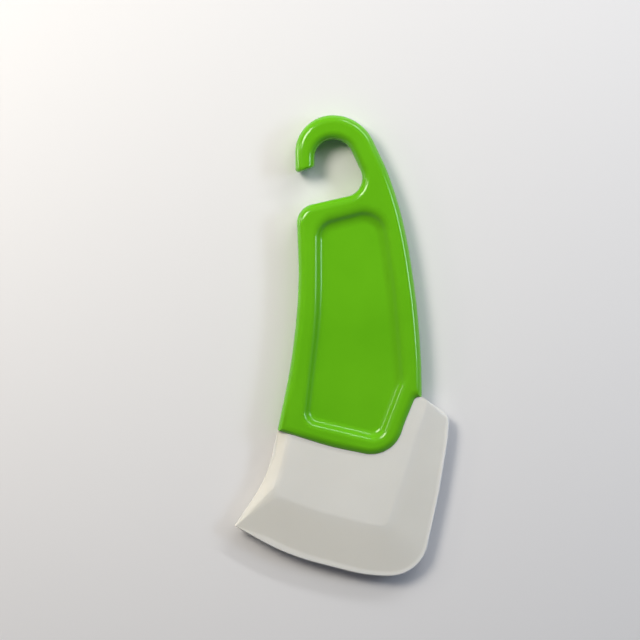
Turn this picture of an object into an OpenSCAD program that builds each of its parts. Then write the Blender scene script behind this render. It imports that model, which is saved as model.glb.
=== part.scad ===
// Pan scraper: a hard plastic handle with a hook, and a soft blade moulded onto its tongue.
// It lies flat with its hook towards +Y. The origin is the middle of the outline, on the table.

/* [Outline] */
// Length from the top of the hook to the scraping edge
length = 164; // [140:1:200]

/* [Handle] */
// Thickness of the handle
handle_thickness = 9; // [8.5:0.25:10]
// How far the rounding of its sides reaches in from the edge
side_round = 3.2; // [2.5:0.1:3.2]
// Depth of the recess in each face
recess_depth = 2.7; // [2.2:0.1:3]

/* [Blade] */
// Thickness of the flat middle of the blade
blade_thickness = 6; // [5:0.25:7]
// Thickness of the scraping edge
edge_thickness = 1.4; // [1:0.1:2]

/* [Tongue] */
// Thickness of the tongue that holds the blade
tongue_thickness = 2.4; // [1.8:0.1:3]
// Diameter of the holes that the blade's material fills
lock_hole_d = 6; // [4:0.5:7]

/* [Hidden] */
$fn = 48;

// The outlines are drawn at this length and about this middle, then sized to the real length
drawn_length = 164.63;
drawn_middle = [0.12, -0.11];
plan = length / drawn_length;

// Largest turn between two points of an arc, in degrees
arc_step = 15;
// Smallest radius left at a corner when its edges move in
least_radius = 0.15;

handle_half = handle_thickness / 2;
blade_half = blade_thickness / 2;
edge_half = edge_thickness / 2;

// Height over which each side is rounded, which leaves an upright band at mid height
side_rise = 3.2;
// The seam edge and the hook's tip are rounded less than the sides
seam_round = 2.6;
tip_round = 1;
tip_rise = 1.4;

// Recess wall: a well rounded top edge, a short slope and a wide fillet at the floor
wall_angle = 60;
wall_edge_r = 2.1;
floor_fillet_r = 2.2;

// The scraping edge is rounded over this distance
nose = edge_half / 2;
// Width of the left bevel where it meets the handle, and of the flat at the blade's shoulder
left_bevel = 4.3;
shoulder_flat = 2.6;

// Kinds of edge on the handle's outline
SIDE = 0;
SEAM = 1;
TIP = 2;

// Every outline runs clockwise as seen from above. Its corners are [x, y, radius], and on the
// handle also the kind of edge that follows. The seam is where the handle meets the blade.
seam_right = [28.7, -18.4, 0, SEAM];
seam_left = [-22.9, -30.2, 0, SIDE];
seam_bend = [-4.0, -36.1, 80, SEAM];
seam = [
    seam_right,
    [26.2, -18.4, 2, SEAM],
    [22.4, -27.6, 60, SEAM],
    [18.0, -40.6, 11.5, SEAM],
    seam_bend
];

handle_outline = concat(
    [
        [-16.5, 61.2, 1.2, SIDE],
        [-16.8, 82.2, 13.4, SIDE],
        [6.9, 82.2, 16, SIDE],
        [16.4, 62.4, 60, SIDE],
        [21.0, 48.8, 100, SIDE],
        [24.2, 34.0, 150, SIDE],
        [26.9, 15.0, 200, SIDE],
        [28.7, -6.0, 220, SIDE]
    ],
    seam,
    [
        seam_left,
        [-18.1, -7.2, 160, SIDE],
        [-15.5, 15.5, 160, SIDE],
        [-15.4, 28.6, 150, SIDE],
        [-16.2, 49.1, 6.8, SIDE],
        [10.0, 55.1, 6.5, SIDE],
        [1.7, 73.3, 7.2, SIDE],
        [-9.6, 73.3, 6.5, SIDE],
        [-9.6, 63.7, 1.2, TIP]
    ]
);

// Top edge of the recess wall. The last value is the width of the wall on the edge that follows.
recess_outline = [
    [-10.8, 46.1, 9, 7.6],
    [16.9, 53.4, 11, 6.8],
    [22.7, 14.0, 100, 7.4],
    [24.9, -11.5, 12, 5.6],
    [15.4, -36.2, 6.8, 5],
    [-15.5, -28.9, 6.8, 5.2],
    [-10.8, 12.0, 150, 5.2]
];

// The blade's thin edge and its flat middle have matching corners, in the same order
shoulder_corner = [38.4, -25.2, 4.4];
edge_outline = concat(
    [seam_left],
    reversed(seam),
    [
        shoulder_corner,
        [38.2, -32.5, 60],
        [34.8, -53.0, 100],
        [28.3, -82.6, 14],
        [9.0, -82.3, 58],
        [-14.5, -76.3, 78],
        [-24.8, -72.0, 58],
        [-38.3, -64.5, 0.5],
        [-26.5, -47.0, 44]
    ]
);
// The first edges lie along the seam and the shoulder, and only the others are thin
thick_edges = 6;

flat_outline = concat(
    [concat(on_line(seam_left, seam_bend, left_bevel), 0)],
    reversed(seam),
    [
        concat(on_line(seam_right, shoulder_corner, shoulder_flat), 0.5),
        [26.4, -33.0, 60],
        [21.9, -47.2, 100],
        [16.0, -64.6, 3.5],
        [7.0, -63.0, 58],
        [-11.0, -58.2, 78],
        [-16.8, -55.9, 58],
        [-24.8, -52.9, 0.5],
        [-22.3, -46.0, 44]
    ]
);

// The tongue starts inside the handle and ends inside the flat middle of the blade
tongue_outline = [
    [-14.0, -26.0, 3],
    [14.5, -32.0, 3],
    [11.5, -57.5, 4],
    [-17.5, -48.5, 4]
];
first_lock_hole = [-11.0, -41.8];
lock_hole_pitch = [9.8, -2.6];
lock_holes = 3;

// Point on the line from one corner towards another, at a distance from the first
function on_line(from, to, distance) = xy(from) + unit(xy(to) - xy(from)) * distance;

function xy(corner) = [corner.x, corner.y];
function unit(v) = v / norm(v);
function turned(v, angle) = [v.x * cos(angle) - v.y * sin(angle), v.x * sin(angle) + v.y * cos(angle)];
function item(list, i) = list[(i + len(list)) % len(list)];
function reversed(list) = [for (i = [len(list) - 1:-1:0]) list[i]];

// The same outline about the origin, at its real size
function sized(outline) = [
    for (corner = outline)
        concat((xy(corner) - drawn_middle) * plan, corner[2] * plan, corner[3])
];

// The outline with each edge moved inwards by its own distance, which shrinks the radius of a
// corner that points outwards and grows that of one that points inwards
function moved(outline, distances) = [
    for (i = [0:len(outline) - 1])
        let (
            here = outline[i],
            u = unit(xy(here) - xy(item(outline, i - 1))),
            v = unit(xy(item(outline, i + 1)) - xy(here)),
            before = item(distances, i - 1),
            after = distances[i],
            step = [u.y, -u.x] * before + u * (after - before * (u * v)) / cross(u, v),
            less = abs(before) < abs(after) ? before : after,
            radius = here[2] == 0 ? 0 : max(least_radius, here[2] + sign(cross(u, v)) * less)
        )
        concat(xy(here) + step, radius)
];

// Signed turn of an outline at one of its corners
function turn(outline, i) =
    let (
        u = xy(outline[i]) - xy(item(outline, i - 1)),
        v = xy(item(outline, i + 1)) - xy(outline[i])
    )
    atan2(cross(u, v), u * v);

// Number of steps that each corner's arc takes
function arc_steps(outline) = [
    for (i = [0:len(outline) - 1])
        max(1, ceil(abs(turn(outline, i)) / arc_step))
];

// Points along the arc at one corner, held to the length of the edge that leads to it
function arc(before, here, after, radius, steps) =
    let (
        u = unit(here - before),
        v = unit(after - here),
        angle = atan2(cross(u, v), u * v),
        half_tan = tan(abs(angle) / 2),
        r = min(radius, 0.95 * norm(here - before) / half_tan),
        start = here - u * r * half_tan,
        to_centre = sign(angle) * r * [-u.y, u.x]
    )
    radius == 0 ? [here] : [
        for (k = [0:steps])
            start + to_centre - turned(to_centre, angle * k / steps)
    ];

// All points of an outline, with its corners rounded in the given numbers of steps
function points(outline, steps) = [
    for (i = [0:len(outline) - 1])
        let (here = outline[i])
        each arc(xy(item(outline, i - 1)), xy(here), xy(item(outline, i + 1)), here[2], steps[i])
];

// Distance that a rounding of the given reach and rise moves in, at a height above its start
function round_in(reach, rise, height) =
    height <= 0 ? 0 : reach * (1 - sqrt(max(0, 1 - pow(height / rise, 2))));

// Triangles that fill a loop of points, given by index: one corner after another is cut off
// that points outwards and has no other point of the loop in its triangle
function filled(points, loop) =
    len(loop) < 3 ? [] :
    let (
        ear = first_ear(points, loop, 0),
        rest = [for (i = [0:len(loop) - 1]) if (i != ear) loop[i]]
    )
    concat([[item(loop, ear - 1), loop[ear], item(loop, ear + 1)]], filled(points, rest));

function first_ear(points, loop, i) =
    is_ear(points, loop, points[item(loop, i - 1)], points[loop[i]], points[item(loop, i + 1)])
    ? i
    : first_ear(points, loop, i + 1);

function is_ear(points, loop, a, b, c) =
    cross(b - a, c - b) < 0
    && len([for (k = loop) if (in_triangle(points[k], a, b, c)) k]) == 3;

function in_triangle(p, a, b, c) =
    cross(b - a, p - a) <= 0 && cross(c - b, p - b) <= 0 && cross(a - c, p - c) <= 0;

// Solid through a stack of rings from its lowest to its highest, each a list of [x, y] points
// with one height, closed by a flat face at each end
module lofted(rings, heights) {
    count = len(rings[0]);
    top = len(rings) - 1;
    loop = [for (i = [0:count - 1]) i];
    polyhedron(
        points = [for (k = [0:top]) each [for (p = rings[k]) [p.x, p.y, heights[k]]]],
        faces = concat(
            [
                for (k = [0:top - 1])
                    for (i = loop)
                        let (
                            a = k * count + i,
                            b = k * count + (i + 1) % count
                        )
                        each [[a, b, b + count], [a, b + count, a + count]]
            ],
            [for (face = filled(rings[0], loop)) reversed(face)],
            [for (face = filled(rings[top], loop)) face + top * count * [1, 1, 1]]
        )
    );
}

// How far one kind of edge on the handle lies inside the outline, at a height from mid height
function handle_inset(kind, z) =
    kind == SIDE ? round_in(side_round * plan, side_rise, abs(z) - handle_half + side_rise)
    : kind == SEAM ? round_in(seam_round * plan, handle_half - blade_half, abs(z) - blade_half)
    : round_in(tip_round * plan, tip_rise, abs(z) - handle_half + tip_rise);

function handle_points(z) =
    points(
        moved(sized(handle_outline), [for (corner = handle_outline) handle_inset(corner[3], z)]),
        arc_steps(handle_outline)
    );

// Heights of the handle's rings above mid height: up the seam wall, then over its rounding
seam_levels = 3;
upright_half = handle_half - side_rise;
seam_top_angle = asin((blade_half - upright_half) / side_rise);
upper_levels = concat(
    [for (k = [0:seam_levels - 1]) upright_half + side_rise * sin(seam_top_angle * k / seam_levels)],
    [for (angle = [0:18:90]) blade_half + (handle_half - blade_half) * sin(angle)]
);
handle_levels = concat(-reversed(upper_levels), upper_levels);

module handle_body() {
    lofted([for (z = handle_levels) handle_points(z)], handle_levels);
}

// Profile of the recess wall as [depth, distance in], from the floor up to just above the face
wall_straight = recess_depth - (wall_edge_r + floor_fillet_r) * (1 - cos(wall_angle));
wall_width = (wall_edge_r + floor_fillet_r) * sin(wall_angle) + wall_straight / tan(wall_angle);
profile_step = 15;
overcut = 0.05;
recess_profile = concat(
    [
        for (angle = [0:profile_step:wall_angle])
            [
                recess_depth - floor_fillet_r * (1 - cos(angle)),
                wall_width - floor_fillet_r * sin(angle)
            ]
    ],
    [
        for (angle = [wall_angle:-profile_step:profile_step])
            [wall_edge_r * (1 - cos(angle)), wall_edge_r * sin(angle)]
    ],
    [[-overcut, -overcut / tan(profile_step / 2)]]
);

// The recess at a share of its wall's width in from the top edge
function recess_points(share) =
    points(
        moved(sized(recess_outline), [for (corner = recess_outline) corner[3] * plan * share]),
        arc_steps(recess_outline)
    );

// Space taken out of one face of the handle
module recess() {
    lofted(
        [for (step = recess_profile) recess_points(step[1] / wall_width)],
        [for (step = recess_profile) handle_half - step[0]]
    );
}

// Plate inside the blade, with holes that the blade's material fills
module tongue() {
    linear_extrude(tongue_thickness, center = true)
        polygon(points(sized(tongue_outline), arc_steps(tongue_outline)));
}

module lock_holes() {
    for (k = [0:lock_holes - 1])
        translate((first_lock_hole + k * lock_hole_pitch - drawn_middle) * plan)
            cylinder(h = tongue_thickness + 1, d = lock_hole_d, center = true);
}

module handle() {
    color("limegreen")
        translate([0, 0, handle_half])
            difference() {
                union() {
                    difference() {
                        handle_body();
                        recess();
                        mirror([0, 0, 1]) recess();
                    }
                    tongue();
                }
                lock_holes();
            }
}

// Outline of the thin edge at an angle around its nose
function edge_points(angle) =
    let (
        inset = nose * (1 - cos(angle)),
        insets = [for (k = [0:len(edge_outline) - 1]) k < thick_edges ? 0 : inset]
    )
    points(moved(sized(edge_outline), insets), arc_steps(edge_outline));

nose_angles = [-90:30:90];
flat_points = points(sized(flat_outline), arc_steps(edge_outline));

module blade_body() {
    lofted(
        concat([flat_points], [for (angle = nose_angles) edge_points(angle)], [flat_points]),
        concat(-blade_half, [for (angle = nose_angles) edge_half * sin(angle)], blade_half)
    );
}

module blade() {
    color("whitesmoke")
        translate([0, 0, handle_half])
            difference() {
                blade_body();
                difference() {
                    tongue();
                    lock_holes();
                }
            }
}

handle();
blade();
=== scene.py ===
import math

import bmesh
import bpy
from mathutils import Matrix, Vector


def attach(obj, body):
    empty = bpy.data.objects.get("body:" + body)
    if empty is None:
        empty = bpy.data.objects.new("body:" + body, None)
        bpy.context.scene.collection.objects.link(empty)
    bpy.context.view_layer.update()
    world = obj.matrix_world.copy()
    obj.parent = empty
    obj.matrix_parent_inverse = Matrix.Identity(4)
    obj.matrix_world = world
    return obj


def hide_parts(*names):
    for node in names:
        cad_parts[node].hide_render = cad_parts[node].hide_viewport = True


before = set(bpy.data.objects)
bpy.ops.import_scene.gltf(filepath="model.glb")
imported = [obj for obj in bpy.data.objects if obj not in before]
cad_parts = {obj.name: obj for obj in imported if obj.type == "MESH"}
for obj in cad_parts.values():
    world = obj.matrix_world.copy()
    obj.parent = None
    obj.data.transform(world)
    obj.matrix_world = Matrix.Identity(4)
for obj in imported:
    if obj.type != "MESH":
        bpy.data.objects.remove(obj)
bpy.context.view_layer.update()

MM = 0.001

# Camera
# It looks straight down on the scraper, as the photograph does, with the hook at the top of
# the picture. It is far enough away that the thin part shows no perspective.

view_width = 227.7 * MM
view_distance = 900 * MM
view_middle = Vector((-7.8 * MM, 9.1 * MM))
outline_height = 4.5 * MM

camera_data = bpy.data.cameras.new("camera")
camera_data.lens = camera_data.sensor_width * view_distance / view_width
camera = bpy.data.objects.new("camera", camera_data)
camera.location = (view_middle.x, view_middle.y, outline_height + view_distance)
bpy.context.scene.collection.objects.link(camera)
bpy.context.scene.camera = camera
bpy.context.scene.view_settings.view_transform = "Standard"

# Floor and light
# A plain pale table under a warm softbox to the upper left, a broad neutral one at the back and
# a cool one to the right. The small lamps give the glossy handle the thin streaks on its edges.

floor_size = 1.4
floor_drop = 0.05 * MM

bm = bmesh.new()
bmesh.ops.create_grid(bm, x_segments=1, y_segments=1, size=floor_size / 2)
bmesh.ops.translate(bm, verts=bm.verts, vec=(0, 0, -floor_drop))
floor_mesh = bpy.data.meshes.new("floor")
bm.to_mesh(floor_mesh)
bm.free()
floor = bpy.data.objects.new("floor", floor_mesh)
bpy.context.scene.collection.objects.link(floor)

floor_material = bpy.data.materials.new("pale table")
floor_material.use_nodes = True
floor_shader = floor_material.node_tree.nodes["Principled BSDF"]
floor_shader.inputs["Base Color"].default_value = (0.76, 0.755, 0.76, 1)
floor_shader.inputs["Roughness"].default_value = 0.6
floor_mesh.materials.append(floor_material)


def add_softbox(name, azimuth, elevation, distance, size, power, colour):
    """An area light aimed at the scraper from a compass direction, 0 being +X."""
    data = bpy.data.lights.new(name, "AREA")
    data.shape = "RECTANGLE"
    data.size, data.size_y = size
    data.energy = power
    data.color = colour
    light = bpy.data.objects.new(name, data)
    azimuth, elevation = math.radians(azimuth), math.radians(elevation)
    level = math.cos(elevation)
    direction = Vector((math.cos(azimuth) * level, math.sin(azimuth) * level, math.sin(elevation)))
    light.location = direction * distance
    light.rotation_euler = direction.to_track_quat("Z", "Y").to_euler()
    light.visible_camera = False
    bpy.context.scene.collection.objects.link(light)
    return light


warm, cool = (1.0, 0.94, 0.83), (0.70, 0.83, 1.0)
add_softbox("main softbox", 137, 46, 0.60, (0.22, 0.20), 2.1, warm)
broad = add_softbox("broad softbox", 97, 44, 0.65, (0.90, 0.60), 1.85, (1.0, 0.98, 0.94))
# Glossy surfaces don't reflect it, or it would be a pale band along the rim
broad.visible_glossy = False
add_softbox("cool softbox", 13, 31, 0.80, (0.30, 0.13), 1.5, cool)
add_softbox("left softbox", 160, 25, 0.65, (0.10, 0.06), 0.25, warm)
add_softbox("back strip", 57, 27, 0.80, (0.56, 0.04), 2.0, (0.95, 0.97, 1.0))
add_softbox("near strip", 160, 1.8, 0.27, (0.08, 0.012), 0.10, warm)

world = bpy.data.worlds.new("studio")
world.use_nodes = True
nodes, links = world.node_tree.nodes, world.node_tree.links
direction = nodes.new("ShaderNodeTexCoord")
parts = nodes.new("ShaderNodeSeparateXYZ")
across = nodes.new("ShaderNodeMapRange")
across.inputs["From Min"].default_value = -1
walls = nodes.new("ShaderNodeMix")
walls.data_type = "RGBA"
walls.inputs["A"].default_value = (0.40, 0.35, 0.28, 1)
walls.inputs["B"].default_value = (0.27, 0.38, 0.66, 1)
down = nodes.new("ShaderNodeMath")
down.operation = "SUBTRACT"
down.use_clamp = True
down.inputs[0].default_value = 1
lowness = nodes.new("ShaderNodeMath")
lowness.operation = "POWER"
lowness.inputs[1].default_value = 3
room = nodes.new("ShaderNodeMix")
room.data_type = "RGBA"
room.inputs["A"].default_value = (0.07, 0.07, 0.08, 1)
# The camera sees a plain pale backdrop behind the table instead
rays = nodes.new("ShaderNodeLightPath")
seen = nodes.new("ShaderNodeMix")
seen.data_type = "RGBA"
seen.inputs["B"].default_value = (0.80, 0.80, 0.80, 1)
links.new(direction.outputs["Generated"], parts.inputs["Vector"])
links.new(parts.outputs["X"], across.inputs["Value"])
links.new(across.outputs["Result"], walls.inputs["Factor"])
links.new(parts.outputs["Z"], down.inputs[1])
links.new(down.outputs["Value"], lowness.inputs[0])
links.new(lowness.outputs["Value"], room.inputs["Factor"])
links.new(walls.outputs["Result"], room.inputs["B"])
links.new(room.outputs["Result"], seen.inputs["A"])
links.new(rays.outputs["Is Camera Ray"], seen.inputs["Factor"])
links.new(seen.outputs["Result"], nodes["Background"].inputs["Color"])
bpy.context.scene.world = world

# Handle
# One glossy green polypropylene moulding: hook, rim and recessed web, the same on both faces.
# Its lower end was moulded first, and the blade was then moulded against it along the seam.

drawn_length = 164.63
drawn_middle = Vector((0.12, -0.11))
length = 164
plan = length / drawn_length * MM
mid_height = 4.5 * MM

# Kinds of edge on the outline
SIDE, SEAM, TIP = range(3)

# Outlines run clockwise as seen from above. A corner is x, y, radius and the kind of edge that follows
seam_right = (28.7, -18.4, 0, SEAM)
seam_bend = (-4.0, -36.1, 80, SEAM)
seam_left = (-22.9, -30.2, 0, SIDE)
seam = [
    seam_right,
    (26.2, -18.4, 2, SEAM),
    (22.4, -27.6, 60, SEAM),
    (18.0, -40.6, 11.5, SEAM),
    seam_bend,
]
handle_outline = [
    (-16.5, 61.2, 1.2, SIDE),
    (-16.8, 82.2, 13.4, SIDE),
    (6.9, 82.2, 16, SIDE),
    (16.4, 62.4, 60, SIDE),
    (21.0, 48.8, 100, SIDE),
    (24.2, 34.0, 150, SIDE),
    (26.9, 15.0, 200, SIDE),
    (28.7, -6.0, 220, SIDE),
    *seam,
    seam_left,
    (-18.1, -7.2, 160, SIDE),
    (-15.5, 15.5, 160, SIDE),
    (-15.4, 28.6, 150, SIDE),
    (-16.2, 49.1, 6.8, SIDE),
    (10.0, 55.1, 6.5, SIDE),
    (1.7, 73.3, 7.2, SIDE),
    (-9.6, 73.3, 6.5, SIDE),
    (-9.6, 63.7, 1.2, TIP),
]
# Top edge of the recess wall. The last value is the width of the wall on the edge that follows
recess_outline = [
    (-10.8, 46.1, 9, 7.6),
    (16.9, 53.4, 11, 6.8),
    (22.7, 14.0, 100, 7.4),
    (24.9, -11.5, 12, 5.6),
    (15.4, -36.2, 6.8, 5),
    (-15.5, -28.9, 6.8, 5.2),
    (-10.8, 12.0, 150, 5.2),
]


def sized(outline):
    """The outline about the origin, in metres, as (corner, radius) pairs."""
    return [((Vector((x, y)) - drawn_middle) * plan, radius * plan) for x, y, radius, *_ in outline]


def moved(corners, distances, least_radius=0.15 * MM):
    """The corners with each edge moved inwards by its own distance."""
    result = []
    for i, (here, radius) in enumerate(corners):
        u = (here - corners[i - 1][0]).normalized()
        v = (corners[(i + 1) % len(corners)][0] - here).normalized()
        before, after = distances[i - 1], distances[i]
        turn = u.cross(v)
        step = Vector((u.y, -u.x)) * before + u * (after - before * u.dot(v)) / turn
        less = before if abs(before) < abs(after) else after
        if radius:
            radius = max(least_radius, radius + math.copysign(less, turn * less))
        result.append((here + step, radius))
    return result


def turn_at(corners, i):
    """Signed turn of the outline at a corner, and the direction in which it arrives there."""
    u = (corners[i][0] - corners[i - 1][0]).normalized()
    v = (corners[(i + 1) % len(corners)][0] - corners[i][0]).normalized()
    return math.atan2(u.cross(v), u.dot(v)), u


def arc_steps(corners, step_angle=math.radians(4)):
    """Number of steps that each corner's arc takes."""
    return [max(2, math.ceil(abs(turn_at(corners, i)[0]) / step_angle)) for i in range(len(corners))]


# A corner's arc starts at most this share of the way back along the edge that leads to it
most_of_edge = 0.95


def outline_points(corners, steps):
    """All points of the outline, each corner rounded in its own number of steps."""
    points = []
    for i, (here, radius) in enumerate(corners):
        if not radius:
            points.append(here)
            continue
        angle, u = turn_at(corners, i)
        half_tangent = math.tan(abs(angle) / 2)
        radius = min(radius, most_of_edge * (here - corners[i - 1][0]).length / half_tangent)
        start = here - u * radius * half_tangent
        to_centre = Vector((-u.y, u.x)) * math.copysign(radius, angle)
        for k in range(steps[i] + 1):
            a = angle * k / steps[i]
            turned = Vector(
                (
                    to_centre.x * math.cos(a) - to_centre.y * math.sin(a),
                    to_centre.x * math.sin(a) + to_centre.y * math.cos(a),
                )
            )
            points.append(start + to_centre - turned)
    return points


def add_ring(bm, points, height):
    """Vertices at one height; height is a number or one number for each point."""
    heights = height if isinstance(height, list) else [height] * len(points)
    return [bm.verts.new((p.x, p.y, z)) for p, z in zip(points, heights)]


def join_rings(bm, lower, upper):
    """Quads between two rings of the same number of points."""
    for i in range(len(lower)):
        j = (i + 1) % len(lower)
        bm.faces.new((lower[i], upper[i], upper[j], lower[j]))


def fill_between(bm, *rings):
    """Flat triangles inside the first ring, and outside a second one if it is given."""
    edges = [bm.edges.get((ring[i - 1], ring[i])) for ring in rings for i in range(len(ring))]
    bmesh.ops.triangle_fill(bm, use_beauty=True, edges=edges)


weld_distance = 1e-7
sharp_angle = math.radians(40)


def finish_both_faces(bm, name):
    """Mirror the upper half to the lower one, lift both to the table and make the object."""
    upper = bm.verts[:] + bm.edges[:] + bm.faces[:]
    copied = bmesh.ops.duplicate(bm, geom=upper)["geom"]
    for vert in [g for g in copied if isinstance(g, bmesh.types.BMVert)]:
        vert.co.z = -vert.co.z
    bmesh.ops.remove_doubles(bm, verts=bm.verts, dist=weld_distance)
    bmesh.ops.recalc_face_normals(bm, faces=bm.faces)
    bmesh.ops.translate(bm, verts=bm.verts, vec=(0, 0, mid_height))
    for face in bm.faces:
        face.smooth = True
    for edge in bm.edges:
        edge.smooth = edge.calc_face_angle() < sharp_angle
    mesh = bpy.data.meshes.new(name)
    bm.to_mesh(mesh)
    bm.free()
    piece = bpy.data.objects.new(name, mesh)
    bpy.context.scene.collection.objects.link(piece)
    return piece


handle_half = 4.5 * MM
seam_height = 3.0 * MM
side_round = 3.2 * MM
side_rise = 3.2 * MM
seam_round = 2.6 * MM
# Share of the seam's rounding that is a plain slope, so that it meets the blade at an angle
seam_slope = 0.35
tip_round = 1.0 * MM
tip_rise = 1.4 * MM
# The sides stay this much inside the outline, to leave room for the ridge of the parting line
ridge_height = 0.1 * MM


def round_in(reach, rise, height):
    """How far a rounding moves in, at a height above its start."""
    if height <= 0:
        return 0
    return reach * (1 - math.sqrt(max(0, 1 - (height / rise) ** 2)))


def handle_inset(kind, z):
    """How far one kind of edge lies inside the outline, at a height from mid height."""
    if kind == SEAM:
        up = max(0, z - seam_height) / (handle_half - seam_height)
        return seam_slope * seam_round * up + (1 - seam_slope) * round_in(seam_round, 1, up)
    if kind == TIP:
        return round_in(tip_round, tip_rise, z - handle_half + tip_rise)
    return ridge_height + round_in(side_round - ridge_height, side_rise, z - handle_half + side_rise)


handle_corners = sized(handle_outline)
handle_steps = arc_steps(handle_corners)
handle_rings = 8
upright = handle_half - side_rise
seam_angle = math.asin((seam_height - upright) / side_rise)
handle_levels = [0]
handle_levels += [
    upright + side_rise * math.sin(seam_angle * k / handle_rings)
    for k in range(handle_rings)
]
handle_levels += [
    seam_height + (handle_half - seam_height) * math.sin(math.pi / 2 * k / handle_rings)
    for k in range(handle_rings + 1)
]

bm = bmesh.new()
rim = None
for z in handle_levels:
    insets = [handle_inset(corner[3], z) for corner in handle_outline]
    ring = add_ring(bm, outline_points(moved(handle_corners, insets), handle_steps), z)
    if rim:
        join_rings(bm, rim, ring)
    rim = ring
# A narrow flat border beside each rounding keeps the shading of the flat faces level
flat_border = 0.08 * MM
insets = [inset + flat_border for inset in insets]
rim_border = add_ring(bm, outline_points(moved(handle_corners, insets), handle_steps), handle_half)
join_rings(bm, rim, rim_border)

# The recess wall has a well rounded top edge, a short slope and a wide fillet at the floor
recess_depth = 2.7 * MM
wall_angle = math.radians(60)
wall_edge_radius = 2.1 * MM
floor_fillet = 2.2 * MM
wall_straight = recess_depth - (wall_edge_radius + floor_fillet) * (1 - math.cos(wall_angle))
wall_width = (wall_edge_radius + floor_fillet) * math.sin(wall_angle) + wall_straight / math.tan(wall_angle)
wall_rings = 10

recess_corners = sized(recess_outline)
recess_steps = arc_steps(recess_corners)
recess_profile = []
for k in range(wall_rings + 1):
    angle = wall_angle * k / wall_rings
    depth = wall_edge_radius * (1 - math.cos(angle))
    recess_profile.append((depth, wall_edge_radius * math.sin(angle) / wall_width))
for k in range(wall_rings, -1, -1):
    angle = wall_angle * k / wall_rings
    depth = recess_depth - floor_fillet * (1 - math.cos(angle))
    recess_profile.append((depth, 1 - floor_fillet * math.sin(angle) / wall_width))


def add_recess_ring(depth, share, border=0):
    """Ring around the recess at a share of its wall's width in from the top edge."""
    insets = [corner[3] * plan * share + border for corner in recess_outline]
    return add_ring(bm, outline_points(moved(recess_corners, insets), recess_steps), handle_half - depth)


wall_rows = [add_recess_ring(0, 0, -flat_border)]
wall_rows += [add_recess_ring(depth, share) for depth, share in recess_profile]
wall_rows.append(add_recess_ring(recess_depth, 1, flat_border))
for upper, lower in zip(wall_rows, wall_rows[1:]):
    join_rings(bm, upper, lower)
fill_between(bm, rim_border, wall_rows[0])
fill_between(bm, wall_rows[-1])
handle = finish_both_faces(bm, "handle_moulding")

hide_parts("handle")
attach(handle, "root")


def add_wear_group():
    """Fine scratches and specks from handling, as a height and a mask, on object coordinates."""
    group = bpy.data.node_groups.new("handling wear", "ShaderNodeTree")
    for name, default in (("Scratch Scale", 900.0), ("Speck Scale", 2500.0), ("Strength", 0.5)):
        socket = group.interface.new_socket(name, in_out="INPUT", socket_type="NodeSocketFloat")
        socket.default_value = default
    group.interface.new_socket("Height", in_out="OUTPUT", socket_type="NodeSocketFloat")
    group.interface.new_socket("Mask", in_out="OUTPUT", socket_type="NodeSocketFloat")
    nodes, links = group.nodes, group.links
    inputs = nodes.new("NodeGroupInput")
    outputs = nodes.new("NodeGroupOutput")
    place = nodes.new("ShaderNodeTexCoord")
    stretch = nodes.new("ShaderNodeMapping")
    stretch.inputs["Rotation"].default_value = (0, 0, math.radians(12))
    stretch.inputs["Scale"].default_value = (1.0, 0.06, 1.0)
    scratches = nodes.new("ShaderNodeTexNoise")
    specks = nodes.new("ShaderNodeTexNoise")
    patches = nodes.new("ShaderNodeTexNoise")
    patches.inputs["Scale"].default_value = 45
    thin = nodes.new("ShaderNodeMapRange")
    thin.inputs["From Min"].default_value = 0.62
    thin.inputs["From Max"].default_value = 0.72
    where = nodes.new("ShaderNodeMath")
    where.operation = "MULTIPLY"
    both = nodes.new("ShaderNodeMath")
    both.operation = "ADD"
    scaled = nodes.new("ShaderNodeMath")
    scaled.operation = "MULTIPLY"
    links.new(place.outputs["Object"], stretch.inputs["Vector"])
    links.new(stretch.outputs["Vector"], scratches.inputs["Vector"])
    links.new(place.outputs["Object"], specks.inputs["Vector"])
    links.new(place.outputs["Object"], patches.inputs["Vector"])
    links.new(inputs.outputs["Scratch Scale"], scratches.inputs["Scale"])
    links.new(inputs.outputs["Speck Scale"], specks.inputs["Scale"])
    links.new(scratches.outputs["Fac"], thin.inputs["Value"])
    links.new(thin.outputs["Result"], where.inputs[0])
    links.new(patches.outputs["Fac"], where.inputs[1])
    links.new(where.outputs["Value"], both.inputs[0])
    links.new(specks.outputs["Fac"], both.inputs[1])
    links.new(both.outputs["Value"], scaled.inputs[0])
    links.new(inputs.outputs["Strength"], scaled.inputs[1])
    links.new(scaled.outputs["Value"], outputs.inputs["Height"])
    links.new(where.outputs["Value"], outputs.inputs["Mask"])
    return group


wear_group = add_wear_group()


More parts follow.
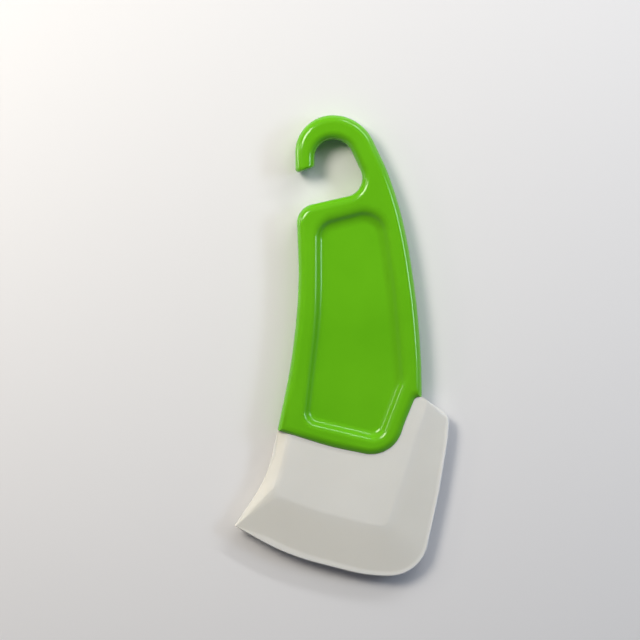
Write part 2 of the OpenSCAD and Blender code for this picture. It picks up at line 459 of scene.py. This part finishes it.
def glossy_green():
    """Pigmented polypropylene from a polished mould, with faint cloudiness in the colour."""
    material = bpy.data.materials.new("glossy green plastic")
    material.use_nodes = True
    nodes, links = material.node_tree.nodes, material.node_tree.links
    shader = nodes["Principled BSDF"]
    shader.inputs["IOR"].default_value = 1.49
    place = nodes.new("ShaderNodeTexCoord")
    clouds = nodes.new("ShaderNodeTexNoise")
    clouds.inputs["Scale"].default_value = 38
    clouds.inputs["Detail"].default_value = 3
    colours = nodes.new("ShaderNodeValToRGB")
    colours.color_ramp.elements[0].position = 0.35
    colours.color_ramp.elements[0].color = (0.118, 0.435, 0.0045, 1)
    colours.color_ramp.elements[1].position = 0.68
    colours.color_ramp.elements[1].color = (0.134, 0.475, 0.006, 1)
    wear = nodes.new("ShaderNodeGroup")
    wear.node_tree = wear_group
    wear.inputs["Scratch Scale"].default_value = 1400
    wear.inputs["Speck Scale"].default_value = 1800
    wear.inputs["Strength"].default_value = 0.5
    rough = nodes.new("ShaderNodeMapRange")
    rough.inputs["To Min"].default_value = 0.16
    rough.inputs["To Max"].default_value = 0.3
    bump = nodes.new("ShaderNodeBump")
    bump.inputs["Strength"].default_value = 0.12
    bump.inputs["Distance"].default_value = 0.00004
    links.new(place.outputs["Object"], clouds.inputs["Vector"])
    links.new(clouds.outputs["Fac"], colours.inputs["Fac"])
    links.new(colours.outputs["Color"], shader.inputs["Base Color"])
    links.new(wear.outputs["Mask"], rough.inputs["Value"])
    links.new(rough.outputs["Result"], shader.inputs["Roughness"])
    links.new(wear.outputs["Height"], bump.inputs["Height"])
    links.new(bump.outputs["Normal"], shader.inputs["Normal"])
    return material


green = glossy_green()
handle.data.materials.append(green)

# Parting line
# The two halves of the handle's mould met at mid height and left a fine raised line of the same
# plastic all along the handle's sides, from one end of the seam around the hook to the other.


def add_bead_tree():
    """A round bead that follows a path of edges."""
    tree = bpy.data.node_groups.new("moulded bead", "GeometryNodeTree")
    sockets = {}
    for name, kind in (("Path", "Geometry"), ("Radius", "Float"), ("Sides", "Int"), ("Material", "Material")):
        sockets[name] = tree.interface.new_socket(name, in_out="INPUT", socket_type="NodeSocket" + kind)
    tree.interface.new_socket("Bead", in_out="OUTPUT", socket_type="NodeSocketGeometry")
    nodes, links = tree.nodes, tree.links
    inputs = nodes.new("NodeGroupInput")
    outputs = nodes.new("NodeGroupOutput")
    path = nodes.new("GeometryNodeMeshToCurve")
    section = nodes.new("GeometryNodeCurvePrimitiveCircle")
    bead = nodes.new("GeometryNodeCurveToMesh")
    bead.inputs["Fill Caps"].default_value = True
    smooth = nodes.new("GeometryNodeSetShadeSmooth")
    real = nodes.new("GeometryNodeRealizeInstances")
    finish = nodes.new("GeometryNodeSetMaterial")
    links.new(inputs.outputs["Path"], path.inputs["Mesh"])
    links.new(inputs.outputs["Radius"], section.inputs["Radius"])
    links.new(inputs.outputs["Sides"], section.inputs["Resolution"])
    links.new(path.outputs["Curve"], bead.inputs["Curve"])
    links.new(section.outputs["Curve"], bead.inputs["Profile Curve"])
    links.new(bead.outputs["Mesh"], smooth.inputs["Geometry"])
    links.new(smooth.outputs["Geometry"], real.inputs["Geometry"])
    links.new(real.outputs["Geometry"], finish.inputs["Geometry"])
    links.new(inputs.outputs["Material"], finish.inputs["Material"])
    links.new(finish.outputs["Geometry"], outputs.inputs["Bead"])
    return tree, sockets


bead_sides = 8
bead_radius = 0.12 * MM
# The bead's crest lies this much inside the outline
crest_room = 0.04 * MM
bead_centre = bead_radius + crest_room
first = handle_outline.index(seam_left)
free_sides = handle_outline[first:] + handle_outline[:handle_outline.index(seam_right) + 1]
side_corners = moved(sized(free_sides), [bead_centre] * len(free_sides))
side_points = outline_points(side_corners, arc_steps(side_corners))
side_path = bpy.data.meshes.new("parting_ridge")
side_path.from_pydata(
    [(point.x, point.y, mid_height) for point in side_points],
    [(k, k + 1) for k in range(len(side_points) - 1)],
    [],
)
ridge = bpy.data.objects.new("parting_ridge", side_path)
bpy.context.scene.collection.objects.link(ridge)
bead_tree, bead_sockets = add_bead_tree()
follow = ridge.modifiers.new("bead", "NODES")
follow.node_group = bead_tree
follow[bead_sockets["Radius"].identifier] = bead_radius
follow[bead_sockets["Sides"].identifier] = bead_sides
follow[bead_sockets["Material"].identifier] = green
ridge.data = bpy.data.meshes.new_from_object(ridge.evaluated_get(bpy.context.evaluated_depsgraph_get()))
ridge.modifiers.remove(follow)

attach(ridge, "root")

# Blade
# One soft off-white moulding, thermoplastic rubber with a satin skin, around the handle's tongue.
# Its flat middle thins through three bevels to a rounded edge, which lets some light through; the lighter
# edge is also painted light in its colour.

blade_half = 3.0 * MM
edge_half = 0.7 * MM
shoulder_corner = (38.4, -25.2, 4.4, SIDE)


def along(start, end, distance, radius):
    """A corner on the line from one corner to another, at a distance from the first."""
    a, b = Vector(start[:2]), Vector(end[:2])
    point = a + (b - a).normalized() * distance
    return (point.x, point.y, radius, SIDE)


# Width of the left bevel where it meets the handle, and of the flat at the blade's shoulder
left_bevel, shoulder_flat = 4.3, 2.6
edge_outline = [
    seam_left,
    *reversed(seam),
    shoulder_corner,
    (38.2, -32.5, 60, SIDE),
    (34.8, -53.0, 100, SIDE),
    (28.3, -82.6, 14, SIDE),
    (9.0, -82.3, 58, SIDE),
    (-14.5, -76.3, 78, SIDE),
    (-24.8, -72.0, 58, SIDE),
    (-38.3, -64.5, 0.5, SIDE),
    (-26.5, -47.0, 44, SIDE),
]
flat_outline = [
    along(seam_left, seam_bend, left_bevel, 0),
    *reversed(seam),
    along(seam_right, shoulder_corner, shoulder_flat, 0.5),
    (26.4, -33.0, 60, SIDE),
    (21.9, -47.2, 100, SIDE),
    (16.0, -64.6, 3.5, SIDE),
    (7.0, -63.0, 58, SIDE),
    (-11.0, -58.2, 78, SIDE),
    (-16.8, -55.9, 58, SIDE),
    (-24.8, -52.9, 3.0, SIDE),
    (-22.3, -46.0, 44, SIDE),
]
# The first edges lie along the seam and the shoulder; the others have a bevel
thick_edges = 6
# The blade's own outline stays this much inside, as its arcs are finer than the solid's
arc_room = 0.03 * MM
# Half width of the rounding between the flat middle and a bevel; it is softer on the left
crease, left_crease = 0.6 * MM, 1.5 * MM
left_edges = 2

flat_corners = sized(flat_outline)
blade_steps = arc_steps(sized(edge_outline))


def blade_insets(bevelled, thick=0, left=None):
    """A distance for the seam and the shoulder, one for the bevelled edges and one for those on the left."""
    insets = [thick if k < thick_edges else bevelled for k in range(len(edge_outline))]
    if left is not None:
        insets[-left_edges:] = [left] * left_edges
    return insets


edge_corners = moved(sized(edge_outline), blade_insets(arc_room))
nose_reach = 0.3 * MM
flat_points = outline_points(flat_corners, blade_steps)
edge_points = outline_points(edge_corners, blade_steps)
nose_points = outline_points(moved(edge_corners, blade_insets(nose_reach)), blade_steps)

# Each bevel ends in a lip that is nearly flat, and wider towards the left than at the right side
lip_left, lip_right = 2.3 * MM, 0.9 * MM
lip_blend = 0.5 * MM
tip_x, right_x = -38 * MM, 36 * MM
# The lip fades out where the bevel faces left, between these parts of its direction along X
no_lip, full_lip = -0.76, -0.64
least_lip = 0.1 * MM
# The lip and the crease take at most these shares of a bevel's width, and the blend this one of the lip
most_lip, most_crease, most_blend = 0.2, 0.3, 0.6
# Where a bevel is narrower than this, its rings run straight down
least_bevel = 0.01 * MM
bevel_rings = 12


def ramp(value, start, end):
    """Share of the way from start to end, from 0 to 1."""
    return min(1, max(0, (value - start) / (end - start)))


def eased(distance, softness):
    """The distance where it is well above nothing, going smoothly to nothing below it."""
    if distance <= -softness:
        return 0
    return distance if distance >= softness else (distance + softness) ** 2 / (4 * softness)


def bevel_rows(start, end):
    """Distance from the flat, height, share of the bevel and share of the lip down one bevel."""
    width = (end - start).length
    if width < least_bevel:
        last = bevel_rings - 1
        return [(0, blade_half + (edge_half - blade_half) * k / last, 0, 0) for k in range(bevel_rings)]
    wide = ramp((end - start).x / width, no_lip, full_lip)
    full = lip_left + (lip_right - lip_left) * ramp(end.x, tip_x, right_x)
    lip = max(least_lip, wide * min(full, most_lip * width))
    soft = min(left_crease + (crease - left_crease) * wide, most_crease * width)
    blend = min(lip_blend, most_blend * lip)
    foot = width - lip
    distances = [0, soft / 2, soft]
    distances += [soft + (foot - blend - soft) * k / 4 for k in (1, 2, 3, 4)]
    distances += [foot - blend / 2, foot, foot + blend / 2, foot + blend, width]
    slope = (blade_half - edge_half) / foot
    rows = []
    for distance in distances:
        if distance < foot / 2:
            height = blade_half - slope * eased(distance, soft)
        else:
            height = edge_half + slope * eased(foot - distance, blend)
        on_lip = wide * ramp(distance, foot - blend, width)
        rows.append((distance, height, ramp(distance, 0, 2 * soft), on_lip))
    return rows


bm = bmesh.new()
# The bevel share sets painted shade on the bevels, and the lip share sets painted light on the thin edge
bevel_share = bm.verts.layers.float.new("bevel")
lip_share = bm.verts.layers.float.new("lip")
flat_insets = blade_insets(crease + flat_border, flat_border, left_crease + flat_border)
flat_ring = add_ring(bm, outline_points(moved(flat_corners, flat_insets), blade_steps), blade_half)
middle_insets = blade_insets(crease, 0, left_crease)
middle_ring = add_ring(bm, outline_points(moved(flat_corners, middle_insets), blade_steps), blade_half)
join_rings(bm, middle_ring, flat_ring)
previous = middle_ring
bevels = [bevel_rows(a, b) for a, b in zip(flat_points, nose_points)]
for k in range(bevel_rings):
    points = []
    for a, b, rows in zip(flat_points, nose_points, bevels):
        points.append(a + (b - a).normalized() * rows[k][0])
    ring = add_ring(bm, points, [rows[k][1] for rows in bevels])
    for vert, rows in zip(ring, bevels):
        vert[bevel_share] = rows[k][2]
        vert[lip_share] = rows[k][3]
    join_rings(bm, ring, previous)
    previous = ring
nose_steps = 6
for k in range(1, nose_steps + 1):
    angle = math.pi / 2 * k / nose_steps
    points = [a.lerp(b, math.sin(angle)) for a, b in zip(nose_points, edge_points)]
    ring = add_ring(bm, points, edge_half * math.cos(angle) if k < nose_steps else 0)
    for vert, above in zip(ring, previous):
        vert[bevel_share] = above[bevel_share]
        vert[lip_share] = above[lip_share]
    join_rings(bm, ring, previous)
    previous = ring
fill_between(bm, flat_ring)
blade = finish_both_faces(bm, "blade_moulding")

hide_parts("blade")
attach(blade, "root")


def satin_white():
    """Soft off-white rubber with a fine satin skin."""
    material = bpy.data.materials.new("satin white rubber")
    material.use_nodes = True
    nodes, links = material.node_tree.nodes, material.node_tree.links
    shader = nodes["Principled BSDF"]
    shader.inputs["IOR"].default_value = 1.45
    shader.inputs["Subsurface Weight"].default_value = 0.2
    shader.inputs["Subsurface Radius"].default_value = (1.0, 0.9, 0.75)
    shader.inputs["Subsurface Scale"].default_value = 0.0015
    place = nodes.new("ShaderNodeTexCoord")
    clouds = nodes.new("ShaderNodeTexNoise")
    clouds.inputs["Scale"].default_value = 30
    clouds.inputs["Detail"].default_value = 4
    colours = nodes.new("ShaderNodeValToRGB")
    colours.color_ramp.elements[0].position = 0.3
    colours.color_ramp.elements[0].color = (0.70, 0.695, 0.65, 1)
    colours.color_ramp.elements[1].position = 0.7
    colours.color_ramp.elements[1].color = (0.74, 0.735, 0.69, 1)
    # The bevels are painted a little darker and warmer than the flat, as painted shade, and the thin lip is
    # painted lighter, as painted light coming through the thin edge
    on_bevel = nodes.new("ShaderNodeAttribute")
    on_bevel.attribute_name = "bevel"
    on_lip = nodes.new("ShaderNodeAttribute")
    on_lip.attribute_name = "lip"
    # Painted shade: a slightly darker, warmer tint over the bevels
    painted_bevel_shade = nodes.new("ShaderNodeMix")
    painted_bevel_shade.data_type = "RGBA"
    painted_bevel_shade.blend_type = "MULTIPLY"
    painted_bevel_shade.inputs["B"].default_value = (1.0, 0.99, 0.965, 1)
    # Painted light: the lip is painted lighter, for light coming through the thin edge
    lighter = nodes.new("ShaderNodeMix")
    lighter.data_type = "RGBA"
    lighter.inputs["B"].default_value = (0.79, 0.785, 0.75, 1)
    wear = nodes.new("ShaderNodeGroup")
    wear.node_tree = wear_group
    wear.inputs["Scratch Scale"].default_value = 800
    wear.inputs["Speck Scale"].default_value = 3000
    wear.inputs["Strength"].default_value = 0.6
    rough = nodes.new("ShaderNodeMapRange")
    rough.inputs["To Min"].default_value = 0.42
    rough.inputs["To Max"].default_value = 0.55
    bump = nodes.new("ShaderNodeBump")
    bump.inputs["Strength"].default_value = 0.2
    bump.inputs["Distance"].default_value = 0.00005
    links.new(place.outputs["Object"], clouds.inputs["Vector"])
    links.new(clouds.outputs["Fac"], colours.inputs["Fac"])
    links.new(colours.outputs["Color"], painted_bevel_shade.inputs["A"])
    links.new(on_bevel.outputs["Fac"], painted_bevel_shade.inputs["Factor"])
    links.new(painted_bevel_shade.outputs["Result"], lighter.inputs["A"])
    links.new(on_lip.outputs["Fac"], lighter.inputs["Factor"])
    links.new(lighter.outputs["Result"], shader.inputs["Base Color"])
    links.new(wear.outputs["Mask"], rough.inputs["Value"])
    links.new(rough.outputs["Result"], shader.inputs["Roughness"])
    links.new(wear.outputs["Height"], bump.inputs["Height"])
    links.new(bump.outputs["Normal"], shader.inputs["Normal"])
    return material


blade.data.materials.append(satin_white())
